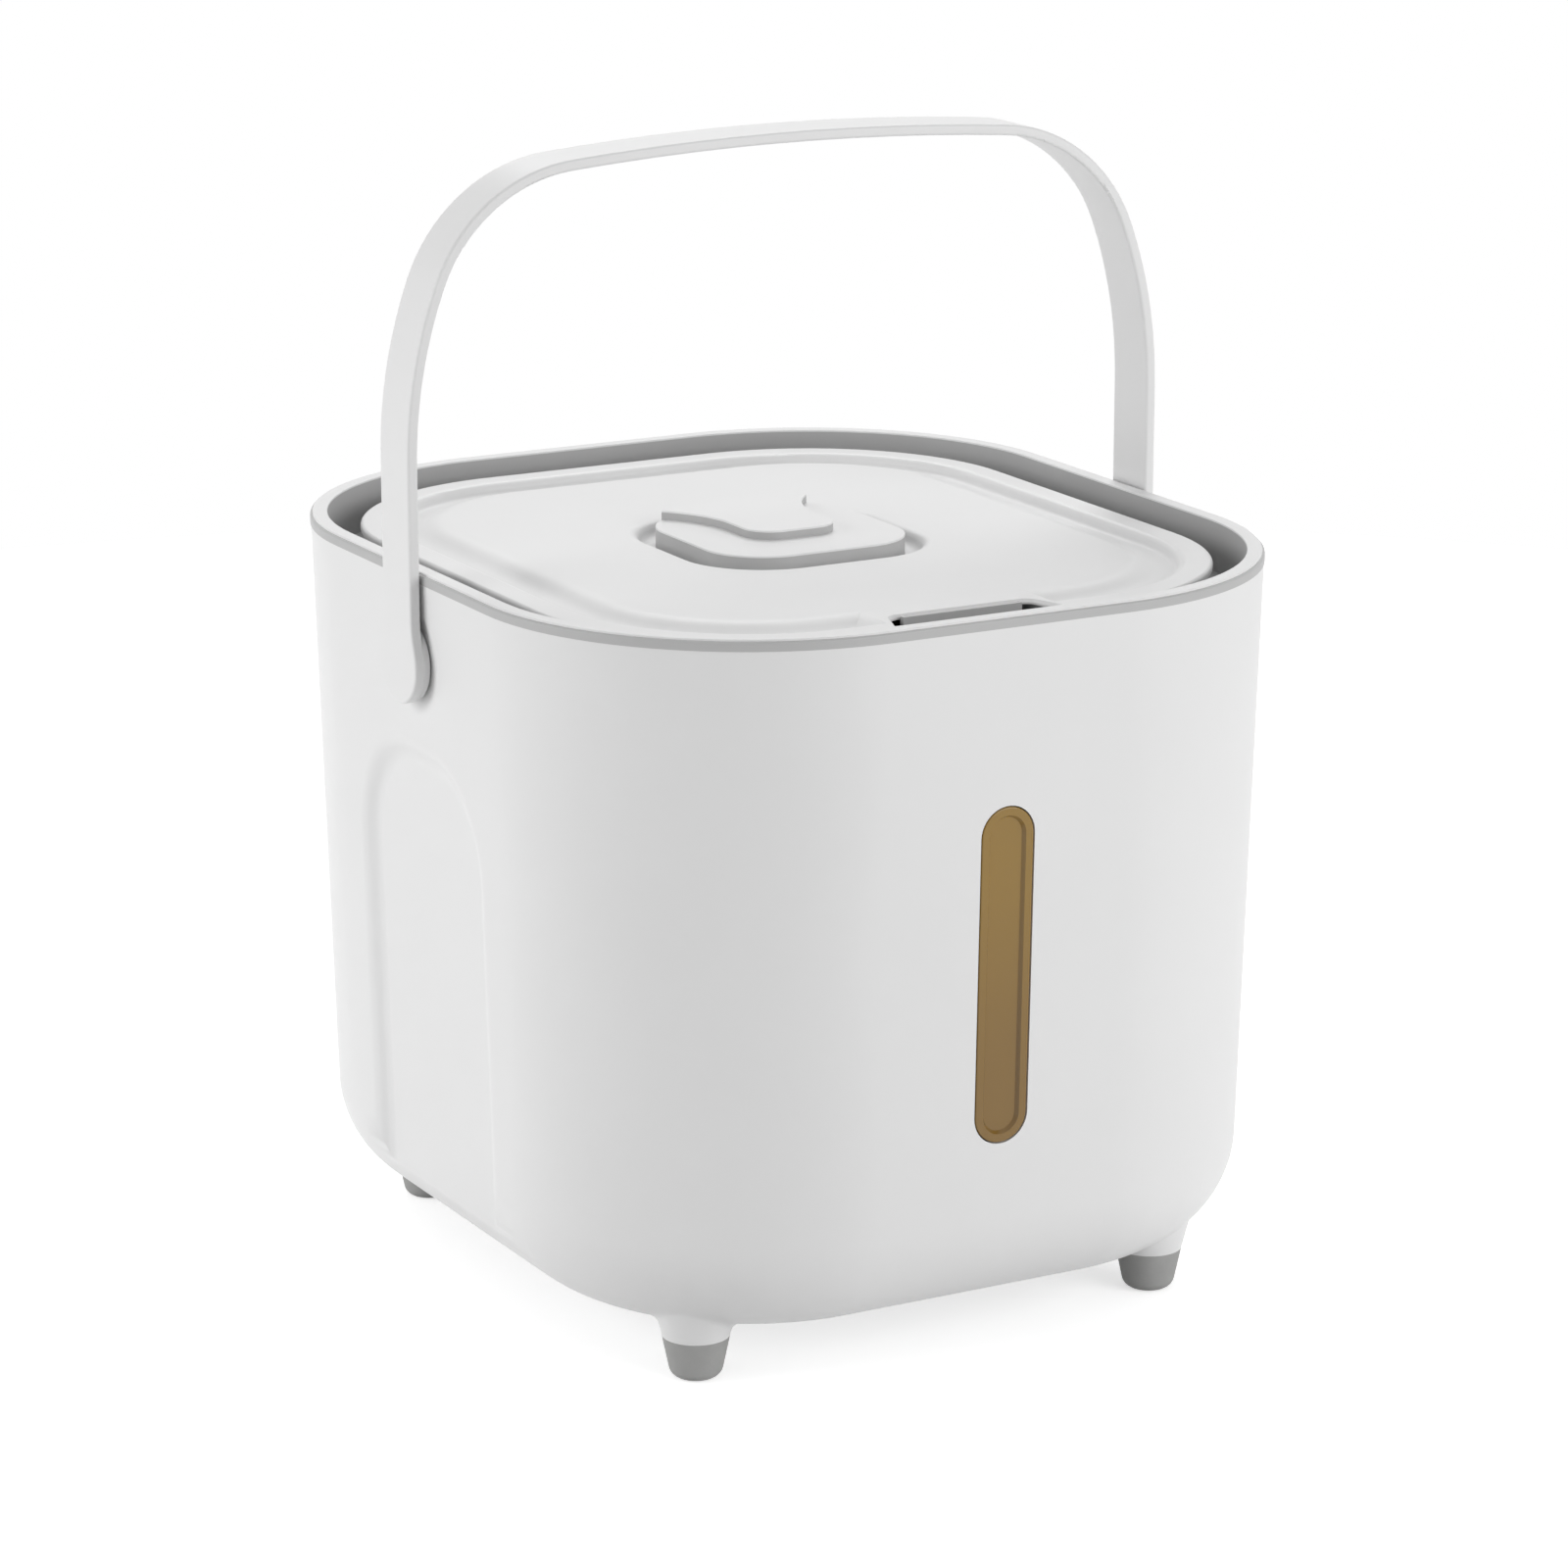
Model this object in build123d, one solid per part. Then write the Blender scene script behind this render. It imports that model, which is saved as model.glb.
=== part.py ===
from build123d import *
import os
from math import acos, cos, radians, sin, sqrt, tan

# Rice keeper: a drafted tub on four feet, a rim collar that carries a lift-off lid, a lift-out
# cover over the lid's repellent cup, a level window and a swinging bail handle.
# Millimetres. Origin on the floor under the middle, +X right, -Y front, +Z up.

os.makedirs("parts", exist_ok=True)

# Overall sizes
body_width = 258.0
body_depth = 285.4
rim_height = 238.4
handle_top = 364.0
corner_radius = 88.0

# Tub
wall = 2.6
draft = 1.6
underside_height = 16.4
bottom_round = 34.0
rim_overhang = 0.2

# Rim: a white ring on a grey collar
ring_thickness = 0.6
ring_edge_round = 0.3
ring_inset = 0.8
rim_width = 5.5
collar_edge_round = 0.7
band_height = 2.9
rib_width = 1.4
rib_depth = 1.5
ledge_drop = 16.4
ledge_thickness = 2.4
ledge_lip = 9.0
lip_thickness = 2.0

# Lid
channel_width = 10.5
lid_drop = 4.0
lid_wall = 1.5
lid_edge_round = 1.2
flange_width = 8.0
flange_thickness = 2.2
gutter_depth = 3.6
gutter_outer_slope = 5.0
gutter_floor = 2.0
gutter_inner_slope = 12.0
notch_back_width = 48.0
notch_mouth_width = 59.0
notch_depth = 15.8
notch_corner = 4.0
notch_edge = 0.9
notch_bevel = 45.0
land_margin = 11.0
land_corner = 9.0
land_ramp = 60.0
finger_wall_width = 41.0
finger_wall_drop = 0.3
neck_gap = 0.5
neck_wall = 2.0
base_plate = 2.4
base_rise = 1.6
plug_depth = 9.6
plug_wall = 2.0
gasket_width = 4.0
gasket_margin = 1.1
gasket_bite = 0.8
lid_screw_offset = 8.0
lid_screw_gap = 3.8

# Repellent cup and its cover
cover_size = 68.5
cover_corner = 20.0
cover_rise = 2.5
cover_wall = 2.2
face_thickness = 0.6
face_edge_round = 0.3
tongue_rise = 2.9
tongue_width = 31.0
tongue_reach = 13.7
tongue_flare = 36.0
tongue_start = 4.5
tongue_turn = 55.0
tongue_corner = 9.5
moat_depth = 4.2
moat_floor = 2.0
moat_slope = 6.4
well_radius = 27.2
well_wall = 2.8
cup_step = 0.8
cup_wall = 1.6
cup_depth = 22.0
cup_flange = 5.0
cup_flange_thickness = 1.2
vent_slots = 5
vent_width = 3.0
vent_pitch = 8.0
plug_clearance = 1.2
plug_ring_wall = 2.0
plug_reach = 5.0
seal_height = 1.8
seal_bite = 1.0

# Window
window_width = 17.8
window_drop = 42.2
window_rise = 57.8
lens_border = 2.6
lens_sink = 1.2
lens_slope = 35.0
lens_edge_round = 0.4
lens_flange = 3.5
lens_flange_thickness = 1.6
window_gap = 0.4
window_seal = 1.0
retainer_thickness = 2.0
window_screw_rows = 3

# Handle
pivot_gap = 1.0
strap_width = 20.0
strap_thickness = 3.5
strap_clearance = 0.8
strap_edge_round = 0.9
shoulder_radius = 150.0
shoulder_turn = 21.0
arch_corner = 55.0
crown_radius = 900.0
eye_radius = 13.0
eye_blend = 26.0
dish_margin = 5.5
dish_depth = 0.8
dish_slope = 6.0
pin_radius = 5.0
bush_wall = 1.5
bush_flange = 2.5
bush_flange_thickness = 1.8
clip_thickness = 1.0
clip_height = 3.0
clip_groove = 1.0

# Side recesses
recess_width = 90.0
recess_drop = 25.5
recess_flat = 14.0
recess_depth = 3.0
recess_slope = 10.0

# Feet
foot_inset = 47.5
pad_height = 13.4
pad_radius = 10.5
pad_foot_radius = 7.7
pad_round = 3.0
foot_flare = 5.0
foot_blend = 3.0
spigot_radius = 5.0
spigot_length = 6.8

# Screws
screw_radius = 1.5
screw_head_radius = 2.9
screw_head_height = 1.8
boss_radius = 3.6

# Clearances
running_fit = 0.06
press_fit = 0.05
loose_fit = 0.2
body_gap = 0.3
rest_gap = 0.15
overcut = 5.0

# Levels worked out from the sizes above
slope = tan(radians(draft))
shell_top = rim_height - ring_thickness - band_height
collar_top = rim_height - ring_thickness
ledge_top = rim_height - ledge_drop
ledge_bottom = ledge_top - ledge_thickness
lid_top = rim_height - lid_drop
gutter_bottom = lid_top - gutter_depth
base_bottom = ledge_top + base_rise
base_top = base_bottom + base_plate
moat_bottom = lid_top - moat_depth
band_bottom = min(gutter_bottom, moat_bottom) - lid_wall
cover_low = lid_top + cover_rise
cover_bottom = moat_bottom + rest_gap
bush_radius = pin_radius + running_fit + bush_wall
bush_flange_radius = bush_radius + bush_flange
pivot_height = ledge_bottom - bush_flange_radius - pivot_gap
recess_top = pivot_height - recess_drop
window_top = ledge_top - window_drop
window_bottom = underside_height + window_rise
window_height = window_top - window_bottom
window_center = (window_top + window_bottom) / 2

# Insets from the rim outline
shell_inset = rim_overhang
cavity_inset = shell_inset + wall
collar_inset = cavity_inset + slope * (shell_top - ledge_bottom) + body_gap
lid_inset = rim_width + channel_width
neck_inset = lid_inset + notch_depth - neck_wall - neck_gap
gasket_inset = neck_inset + gasket_margin
ledge_inset = gasket_inset + gasket_width + gasket_margin
plug_inset = ledge_inset + 2 * body_gap
gutter_width = gutter_outer_slope + gutter_floor + gutter_inner_slope

# Places and radii
foot_x = body_width / 2 - foot_inset
foot_y = body_depth / 2 - foot_inset
dish_radius = eye_radius + dish_margin
recess_corner = (recess_width - recess_flat) / 2
retainer_border = lens_flange + loose_fit + 2 * boss_radius
plug_radius = well_radius - plug_clearance
cup_radius = well_radius + cup_step

up = Vector(0, 0, 1)


def plan(inset):
    """Rim outline moved inwards by inset."""
    width = body_width - 2 * inset
    depth = body_depth - 2 * inset
    return RectangleRounded(width, depth, corner_radius - inset)


def slab(inset, low, high):
    """Solid on the rim outline moved inwards, between two heights."""
    return Pos(0, 0, low) * extrude(plan(inset), high - low)


def frame(outer, inner, low, high):
    """Ring between two insets of the rim outline."""
    return slab(outer, low, high) - slab(inner, low, high)


def rod(radius, low, high, x=0.0, y=0.0):
    """Upright round bar between two heights."""
    bar = Cylinder(radius, high - low, align=(Align.CENTER, Align.CENTER, Align.MIN))
    return Pos(x, y, low) * bar


def tube(outer, inner, low, high, x=0.0, y=0.0):
    """Upright round tube between two heights."""
    return rod(outer, low, high, x, y) - rod(inner, low, high, x, y)


def axle(radius, start, end):
    """Round bar along X at the pivot height."""
    bar = Cylinder(radius, end - start, align=(Align.CENTER, Align.CENTER, Align.MIN))
    return Pos(start, 0, pivot_height) * Rot(0, 90, 0) * bar


def ease(start, end):
    """Two arcs that leave start and reach end level, as one soft slope."""
    middle = ((start[0] + end[0]) / 2, (start[1] + end[1]) / 2)
    first = TangentArc(start, middle, tangent=(1, 0))
    second = TangentArc(middle, end, tangent=first % 1)
    return [first, second]


def section_plane(path, normal):
    """Plane square to a path at its start: x points left of the path, y along normal."""
    tangent = path % 0
    return Plane(origin=path @ 0, x_dir=normal.cross(tangent), z_dir=tangent)


def swept_cut(path, normal, edges, height):
    """Sweep the space above a run of edges, up to a height, along a path."""
    first = edges[0] @ 0
    last = edges[-1] @ 1
    lid = Polyline((last.X, last.Y), (last.X, height), (first.X, height), (first.X, first.Y))
    face = make_face(edges + lid.edges())
    return sweep(section_plane(path, normal) * face, path=path)


def outline_path(width, depth, radius, level):
    """Closed rounded rectangle as a path, anticlockwise seen from above."""
    face = Pos(0, 0, level) * RectangleRounded(width, depth, radius)
    return face.face().outer_wire()


def mirrored(shape):
    """Copy on the other side of the middle plane."""
    return mirror(shape, about=Plane.YZ)


def wall_x(level):
    """Half width of the tub outside, at a height."""
    return body_width / 2 - shell_inset - slope * (shell_top - level)


def wall_y(level):
    """Half depth of the tub outside, at a height."""
    return body_depth / 2 - shell_inset - slope * (shell_top - level)


def tub(inset, bottom, edge_round):
    """Drafted solid under the rim with a rounded bottom edge."""
    face = Pos(0, 0, bottom) * plan(inset + slope * (shell_top - bottom))
    body = extrude(face, amount=shell_top - bottom, taper=-draft)
    return fillet(body.edges().group_by(Axis.Z)[0], edge_round)


# Places on the drafted walls
window_plane = Plane(
    origin=(0, -wall_y(window_center), window_center),
    x_dir=(1, 0, 0),
    z_dir=(0, -cos(radians(draft)), -sin(radians(draft))),
)
side_plane = Plane(
    origin=(wall_x(recess_top), 0, recess_top),
    x_dir=(0, 1, 0),
    z_dir=(cos(radians(draft)), 0, -sin(radians(draft))),
)
pivot_plane = Plane(
    origin=(wall_x(pivot_height), 0, pivot_height),
    x_dir=(0, 1, 0),
    z_dir=side_plane.z_dir,
)
dish_floor = wall_x(pivot_height) - dish_depth
eye_face = dish_floor + slope * eye_radius + body_gap
pad_face = dish_floor - wall
bush_end = pad_face - bush_flange_thickness
clip_face = bush_end - body_gap
pin_end = clip_face - clip_thickness - clip_groove


def stadium(grow, depth, thickness):
    """Window-shaped solid: grown all round, set back from the tub's face by depth."""
    shape = SlotOverall(window_height + 2 * grow, window_width + 2 * grow, rotation=90)
    return window_plane * Pos(0, 0, -depth - thickness) * extrude(shape, thickness)


def window_screw_places():
    """Places of the retainer's screws in the window plane, in rows down both sides."""
    x = window_width / 2 + lens_flange + boss_radius + loose_fit
    span = window_height - 2 * retainer_border
    rows = [span * (row / (window_screw_rows - 1) - 0.5) for row in range(window_screw_rows)]
    return [(side * x, y) for side in (-1, 1) for y in rows]


def window_bar(radius, depth, thickness):
    """Round bars square to the window, one at each screw, set back from the face."""
    bar = Cylinder(radius, thickness, align=(Align.CENTER, Align.CENTER, Align.MIN))
    return [window_plane * Pos(x, y, -depth - thickness) * bar for x, y in window_screw_places()]


def side_recess():
    """Soft-edged hollow on the right side, which runs out through the bottom rounding."""
    half = recess_width / 2
    drop = recess_top
    route = [(half, -drop), (half, 0), (-half, 0), (-half, -drop)]
    path = side_plane * FilletPolyline(*route, radius=recess_corner)
    edge = ease((0, 0), (recess_slope, -recess_depth))
    rim = swept_cut(path, side_plane.z_dir, edge, overcut)
    inner = half - recess_slope
    corner = recess_corner - recess_slope
    core = [(inner, -drop), (inner, -recess_slope), (-inner, -recess_slope), (-inner, -drop)]
    floor = FilletPolyline(*core, radius=corner)
    closing = Line(floor @ 1, floor @ 0)
    middle = extrude(make_face(floor.edges() + [closing]), recess_depth + overcut)
    return rim + side_plane * Pos(0, 0, -recess_depth) * middle


def foot_places():
    """Names and places of the four feet."""
    sides = (("left", -1), ("right", 1))
    ends = (("front", -1), ("rear", 1))
    return [(f"{end}_{side}", sx * foot_x, sy * foot_y) for end, sy in ends for side, sx in sides]


def handle_dish():
    """Shallow soft-edged dish in the right side, round the handle's eye."""
    path = (pivot_plane * Circle(dish_radius)).face().outer_wire()
    edge = ease((0, 0), (dish_slope, -dish_depth))
    rim = swept_cut(path, pivot_plane.z_dir, edge, overcut)
    middle = extrude(Circle(dish_radius - dish_slope), dish_depth + overcut)
    return rim + pivot_plane * Pos(0, 0, -dish_depth) * middle


def pivot_pad():
    """Thicker wall behind the right dish, kept under the collar's ledge."""
    pad = axle(dish_radius, pad_face, wall_x(pivot_height))
    room = Box(body_width, body_depth, rim_height, align=(Align.CENTER, Align.CENTER, Align.MAX))
    return pad & Pos(0, 0, ledge_bottom - body_gap) * room


def foot_cone(x, y):
    """Foot moulded on the tub: a cone into the bottom rounding and a spigot for the pad."""
    height = underside_height + bottom_round / 2 - pad_height
    cone = Cone(pad_radius, pad_radius + foot_flare, height, align=(Align.CENTER, Align.CENTER, Align.MIN))
    spigot = rod(spigot_radius, pad_height - spigot_length, pad_height + wall, x, y)
    return Pos(x, y, pad_height) * cone + spigot


def meets_foot(edge):
    """True for an edge where a foot's cone runs into the tub's bottom."""
    box = edge.bounding_box()
    middle = box.center()
    reach = pad_radius + foot_flare
    near = [abs(middle.X - x) < reach and abs(middle.Y - y) < reach for _, x, y in foot_places()]
    return any(near) and box.min.Z > pad_height + rest_gap and box.size.X < 2 * reach


def outer_shell():
    """Tub: one drafted wall, foot cones, side recesses, handle dishes and the window's slot."""
    outside = tub(shell_inset, underside_height, bottom_round)
    for _, x, y in foot_places():
        outside += foot_cone(x, y)
    outside = fillet(outside.edges().filter_by(meets_foot), foot_blend)
    hollow = tub(cavity_inset, underside_height + wall, bottom_round - wall)
    hollow += slab(cavity_inset, shell_top, shell_top + overcut)
    recess = side_recess()
    inner_recess = Pos(-wall, 0, 0) * recess
    outside -= recess
    outside -= mirrored(recess)
    hollow -= inner_recess
    hollow -= mirrored(inner_recess)
    hollow -= pivot_pad()
    hollow -= mirrored(pivot_pad())
    shell = outside - hollow
    bore = axle(bush_radius, pad_face - overcut, dish_floor + overcut)
    for cut in (handle_dish(), bore):
        shell -= cut
        shell -= mirrored(cut)
    boss_depth = window_seal + lens_flange_thickness
    for boss in window_bar(boss_radius, wall / 2, wall / 2 + boss_depth):
        shell += boss
    shell -= stadium(window_gap, -overcut, overcut + wall + boss_depth)
    for hole in window_bar(screw_radius + press_fit, wall, boss_depth):
        shell -= hole
    return shell


def rim_collar():
    """Grey collar: a flange on the tub's edge, a mouth wall and the ledge that carries the lid."""
    flange = slab(0, shell_top, collar_top)
    flange = fillet(flange.edges().group_by(Axis.Z)[-1], collar_edge_round)
    collar = flange - slab(rim_width, shell_top, collar_top)
    collar += frame(collar_inset, rim_width, ledge_bottom, shell_top)
    collar += frame(collar_inset, ledge_inset, ledge_bottom, ledge_top)
    collar += frame(ledge_inset - lip_thickness, ledge_inset, ledge_top - ledge_lip, ledge_top)
    middle = rim_width / 2
    half = rib_width / 2 + press_fit
    collar -= frame(middle - half, middle + half, collar_top - rib_depth - press_fit, collar_top)
    return collar


def rim_ring():
    """White ring on the collar, held by a rib in the collar's groove."""
    ring = frame(ring_inset, rim_width, collar_top, rim_height)
    ring = fillet(ring.edges().group_by(Axis.Z)[-1], ring_edge_round)
    middle = rim_width / 2
    half = rib_width / 2
    return ring + frame(middle - half, middle + half, collar_top - rib_depth, collar_top)


def foot_pad(x, y):
    """Rubber tip pressed onto a foot's spigot."""
    profile = Polyline((0, 0), (pad_foot_radius, 0), (pad_radius, pad_height), (0, pad_height), close=True)
    face = make_face(Plane.XZ * profile)
    pad = revolve(face, axis=Axis.Z)
    pad = fillet(pad.edges().group_by(Axis.Z)[0], pad_round)
    socket = rod(spigot_radius + press_fit, pad_height - spigot_length - press_fit, pad_height)
    return Pos(x, y, 0) * (pad - socket)


def window_lens():
    """Amber lens: a plug through the tub's wall, sunk inside its border, with a flange behind."""
    plug = stadium(0, 0, wall + window_seal)
    plug = fillet(plug.faces().sort_by(Axis.Y)[0].edges(), lens_edge_round)
    panel = SlotOverall(window_height - 2 * lens_border, window_width - 2 * lens_border, rotation=90)
    plug -= window_plane * extrude(panel, -lens_sink, taper=lens_slope)
    return plug + stadium(lens_flange, wall + window_seal, lens_flange_thickness)


def window_gasket():
    """Seal between the wall and the lens's flange."""
    return stadium(lens_flange, wall, window_seal) - stadium(window_gap, wall, window_seal)


def window_retainer():
    """Frame that clamps the lens's flange from inside the tub."""
    depth = wall + window_seal + lens_flange_thickness
    plate = stadium(retainer_border, depth, retainer_thickness)
    plate -= stadium(-lens_flange / 2, depth, retainer_thickness)
    for hole in window_bar(screw_radius + loose_fit, depth, retainer_thickness):
        plate -= hole
    return plate


def window_screws():
    """Screws that hold the retainer."""
    depth = wall + window_seal + lens_flange_thickness
    length = retainer_thickness + window_seal + lens_flange_thickness - loose_fit
    shanks = window_bar(screw_radius, depth + retainer_thickness - length, length)
    heads = window_bar(screw_head_radius, depth + retainer_thickness, screw_head_height)
    return Compound(children=[shank + head for shank, head in zip(shanks, heads)])


def arch(outer_half, inset):
    """Face under the handle's arch, moved inwards by inset: legs, shoulders, corners and crown."""
    turn = radians(shoulder_turn)
    shoulder_x = outer_half - shoulder_radius
    corner_x = shoulder_x + (shoulder_radius - arch_corner) * cos(turn)
    lean = acos(corner_x / (crown_radius - arch_corner))
    corner_z = handle_top - crown_radius + (crown_radius - arch_corner) * sin(lean)
    shoulder_z = corner_z - (shoulder_radius - arch_corner) * sin(turn)
    reach = shoulder_radius - inset
    corner = arch_corner - inset
    low = pivot_height - eye_radius - overcut
    side = (outer_half - inset, shoulder_z)
    knee = (shoulder_x + reach * cos(turn), shoulder_z + reach * sin(turn))
    join = (corner_x + corner * cos(lean), corner_z + corner * sin(lean))
    leg = Line((outer_half - inset, low), side)
    shoulder = TangentArc(side, knee, tangent=(0, 1))
    bend = TangentArc(knee, join, tangent=shoulder % 1)
    bar = ThreePointArc(join, (0, handle_top - inset), (-join[0], join[1]))
    right = [leg, shoulder, bend]
    left = [mirror(edge, about=Plane.YZ) for edge in right]
    sill = Line((inset - outer_half, low), (outer_half - inset, low))
    return make_face(right + [bar] + left + [sill])


def handle():
    """Bail: a flat strap bent into an arch, with round eyes and stub pins."""
    inner_half = body_width / 2 + strap_clearance
    outer_half = inner_half + strap_thickness
    band = arch(outer_half, 0) - arch(outer_half, strap_thickness)
    solid = extrude(Plane.XZ * band, eye_radius, both=True)
    tall = handle_top - pivot_height + overcut
    strap = Pos(0, tall / 2) * Rectangle(strap_width, tall)
    side = strap + Circle(eye_radius)
    corners = [v for v in side.vertices() if 0 < v.Y < eye_radius]
    side = fillet(corners, eye_blend)
    profile = Plane(origin=(0, 0, pivot_height), x_dir=(0, 1, 0), z_dir=(1, 0, 0)) * side
    solid &= extrude(profile, outer_half + overcut, both=True)
    long_edges = [e for e in solid.edges() if e.length > strap_width]
    solid = fillet(long_edges, strap_edge_round)
    eye = axle(eye_radius - strap_edge_round, eye_face, inner_half + strap_thickness / 2)
    pin = axle(pin_radius, pin_end, inner_half)
    groove = axle(pin_radius + overcut, clip_face - clip_thickness - press_fit, clip_face + press_fit)
    groove -= axle(pin_radius - clip_groove, pin_end - overcut, inner_half)
    stub = eye + (pin - groove)
    return solid + stub + mirrored(stub)


def pivot_bush():
    """Flanged bush in the tub's right wall, which the handle's pin turns in."""
    bush = axle(bush_radius - press_fit, pad_face, dish_floor)
    bush += axle(bush_flange_radius, bush_end, pad_face)
    return bush - axle(pin_radius + running_fit, bush_end, dish_floor)


def pivot_clip():
    """Open ring in the right pin's groove, which keeps the pin in its bush."""
    ring = axle(pin_radius + clip_height, clip_face - clip_thickness, clip_face)
    ring -= axle(pin_radius - clip_groove + press_fit, clip_face - clip_thickness, clip_face)
    gap = 2 * (pin_radius - clip_groove)
    slot = Box(overcut, gap, eye_radius, align=(Align.CENTER, Align.CENTER, Align.MAX))
    return ring - Pos(clip_face, 0, pivot_height) * slot


def notch_outline():
    """Finger notch in the lid's front edge, seen from above."""
    edge = -body_depth / 2 + lid_inset
    back = edge + notch_depth
    mouth = notch_mouth_width / 2
    end = notch_back_width / 2
    flare = (mouth - end) / notch_depth * overcut
    corners = [(-mouth - flare, edge - overcut), (mouth + flare, edge - overcut), (end, back), (-end, back)]
    shape = make_face(Polyline(*corners, close=True))
    return fillet(shape.vertices().group_by(Axis.Y)[-1], notch_corner)


def lid_screw_places():
    """Screw places round the lid: corners, sides, and pairs at the front and rear."""
    inset = plug_inset + plug_wall + boss_radius + lid_screw_gap
    half_x = body_width / 2 - inset
    half_y = body_depth / 2 - inset
    corner = (corner_radius - inset) * (1 - sqrt(0.5))
    pair = body_width / 2 - corner_radius + lid_screw_offset
    places = [(sx * (half_x - corner), sy * (half_y - corner)) for sx in (-1, 1) for sy in (-1, 1)]
    places += [(sx * half_x, 0) for sx in (-1, 1)]
    places += [(sx * pair, sy * half_y) for sx in (-1, 1) for sy in (-1, 1)]
    return places


def cover_outline(grow):
    """Outline of the cup's cover, moved outwards by grow."""
    return RectangleRounded(cover_size + 2 * grow, cover_size + 2 * grow, cover_corner + grow)


def gutter_cut():
    """Soft gutter round the lid's middle, stopped short of the finger notch."""
    inset = lid_inset + flange_width
    width = body_width - 2 * inset
    depth = body_depth - 2 * inset
    path = outline_path(width, depth, corner_radius - inset, lid_top)
    floor_start = gutter_outer_slope
    floor_end = gutter_outer_slope + gutter_floor
    edges = ease((0, 0), (floor_start, -gutter_depth))
    edges += [Line((floor_start, -gutter_depth), (floor_end, -gutter_depth))]
    edges += ease((floor_end, -gutter_depth), (gutter_width, 0))
    cut = swept_cut(path, up, edges, overcut)
    edge = -body_depth / 2 + lid_inset
    land_depth = flange_width + gutter_width + overcut
    land = RectangleRounded(notch_back_width + 2 * land_margin, 2 * land_depth, land_corner)
    block = extrude(Pos(0, edge) * land, gutter_depth + body_gap, taper=land_ramp)
    return cut - Pos(0, 0, gutter_bottom) * block


def moat_cut():
    """Dished finger groove round the cup's cover, with the cover's seat inside it."""
    seat = extrude(cover_outline(loose_fit), moat_depth + overcut)
    width = cover_size + 2 * (moat_floor + moat_slope)
    path = outline_path(width, width, cover_corner + moat_floor + moat_slope, lid_top)
    edges = ease((0, 0), (moat_slope, -moat_depth))
    edges += [Line((moat_slope, -moat_depth), (moat_slope + 2 * moat_floor, -moat_depth))]
    return Pos(0, 0, moat_bottom) * seat + swept_cut(path, up, edges, overcut)


def lid_hollow():
    """Space under the lid's skin: the plateau and the land behind the notch."""
    high = lid_top - lid_wall
    edge = lid_inset + flange_width
    dish = extrude(cover_outline(moat_floor + moat_slope + lid_wall), high - band_bottom)
    hollow = slab(edge + gutter_width, band_bottom, high) - Pos(0, 0, band_bottom) * dish
    ramp = gutter_depth * tan(radians(land_ramp))
    width = notch_back_width + 2 * (land_margin - ramp - lid_wall)
    land = Box(
        width,
        flange_width + gutter_width,
        high - band_bottom,
        align=(Align.CENTER, Align.MIN, Align.MIN),
    )
    return hollow + Pos(0, -body_depth / 2 + lid_inset + lid_wall, band_bottom) * land


def lid_cover():
    """Top of the lid: thin overhanging flange, gutter, plateau, finger notch and the cup's well."""
    lid = slab(lid_inset, lid_top - flange_thickness, lid_top)
    lid = fillet(lid.edges().group_by(Axis.Z)[-1], lid_edge_round)
    lid += slab(lid_inset + flange_width - lid_wall, band_bottom, lid_top)
    lid -= gutter_cut()
    lid -= moat_cut()
    lid -= lid_hollow()
    lid -= Pos(0, 0, band_bottom) * extrude(notch_outline(), lid_top - band_bottom)
    lid -= Pos(0, 0, lid_top - notch_edge) * extrude(notch_outline(), notch_edge, taper=-notch_bevel)
    lid += tube(well_radius + well_wall, well_radius, base_top, moat_bottom - lid_wall / 2)
    for x, y in lid_screw_places():
        lid += rod(boss_radius, base_top, lid_top - lid_wall / 2, x, y)
    for x, y in lid_screw_places():
        lid -= rod(screw_radius + press_fit, base_top, band_bottom, x, y)
    return lid - rod(well_radius, base_top, lid_top)


def lid_base():
    """Under part of the lid: neck, finger wall inside the notch, plate and plug skirt."""
    base = slab(neck_inset, base_bottom, base_top)
    base += frame(neck_inset, neck_inset + neck_wall, base_top, band_bottom)
    base += frame(plug_inset, plug_inset + plug_wall, base_bottom - plug_depth, base_bottom)
    wall_height = lid_top - finger_wall_drop - base_top
    finger_wall = Box(
        finger_wall_width,
        neck_wall,
        wall_height,
        align=(Align.CENTER, Align.MIN, Align.MIN),
    )
    base += Pos(0, -body_depth / 2 + neck_inset, base_top) * finger_wall
    groove_top = base_bottom + gasket_bite + press_fit
    base -= frame(gasket_inset - press_fit, gasket_inset + gasket_width + press_fit, base_bottom, groove_top)
    base -= rod(cup_radius + loose_fit, base_bottom, base_top)
    base -= rod(cup_radius + cup_flange + loose_fit, base_top - cup_flange_thickness, base_top)
    for x, y in lid_screw_places():
        base -= rod(screw_radius + loose_fit, base_bottom, base_top, x, y)
    return base


def lid_gasket():
    """Soft ring in the lid's underside that seals on the ledge."""
    top = base_bottom + gasket_bite
    return frame(gasket_inset, gasket_inset + gasket_width, ledge_top + rest_gap, top)


def lid_screws():
    """Screws that join the lid's cover and base."""
    screws = []
    for x, y in lid_screw_places():
        head = rod(screw_head_radius, base_bottom - screw_head_height, base_bottom, x, y)
        shank = rod(screw_radius, base_bottom, band_bottom - loose_fit, x, y)
        screws.append(head + shank)
    return Compound(children=screws)


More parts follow.
